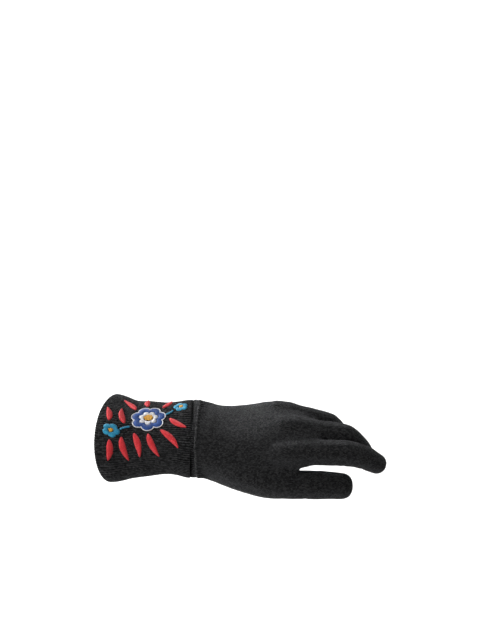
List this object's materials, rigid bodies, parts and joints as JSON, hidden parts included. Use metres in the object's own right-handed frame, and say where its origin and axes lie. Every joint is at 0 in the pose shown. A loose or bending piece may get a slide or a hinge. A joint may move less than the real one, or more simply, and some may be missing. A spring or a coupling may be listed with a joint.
{
  "type": "knitted glove",
  "caption": "Long-cuffed knitted wool glove for the left hand, kept in its worn shape, with a turned-up ribbed cuff and an embroidered flower spray.",
  "frame": {"origin": "centre of the mouth of the cuff, where the wrist goes in", "axes": "+X from the mouth of the cuff to the fingertips, +Z out of the back of the hand, +Y to the little finger"},
  "size_m": [0.2501, 0.092, 0.0858],
  "materials": {
    "charcoal_knit": "matte plain-knit melange wool",
    "charcoal_rib": "matte ribbed melange wool",
    "red_thread": "satin-stitch embroidery thread",
    "blue_thread": "satin-stitch embroidery thread",
    "cyan_thread": "satin-stitch embroidery thread",
    "white_thread": "satin-stitch embroidery thread",
    "gold_thread": "satin-stitch embroidery thread"
  },
  "bodies": {
    "root": {"ribbed_cuff": "charcoal_rib", "hand": "charcoal_knit", "index_finger": "charcoal_knit", "middle_finger": "charcoal_knit", "ring_finger": "charcoal_knit", "little_finger": "charcoal_knit", "thumb": "charcoal_knit", "large_blossom_star": "white_thread", "large_blossom": "blue_thread", "mouth_blossom": "cyan_thread", "wrist_blossom": "cyan_thread", "large_blossom_heart": "gold_thread", "mouth_blossom_heart": "gold_thread", "wrist_blossom_heart": "gold_thread", "leaf_1": "red_thread", "leaf_2": "red_thread", "leaf_3": "red_thread", "leaf_4": "red_thread", "leaf_5": "red_thread", "leaf_6": "red_thread", "leaf_7": "red_thread", "leaf_8": "red_thread", "leaf_9": "red_thread", "leaf_10": "red_thread", "leaf_11": "red_thread", "stem_1": "cyan_thread", "stem_2": "cyan_thread"}
  },
  "joints": []
}
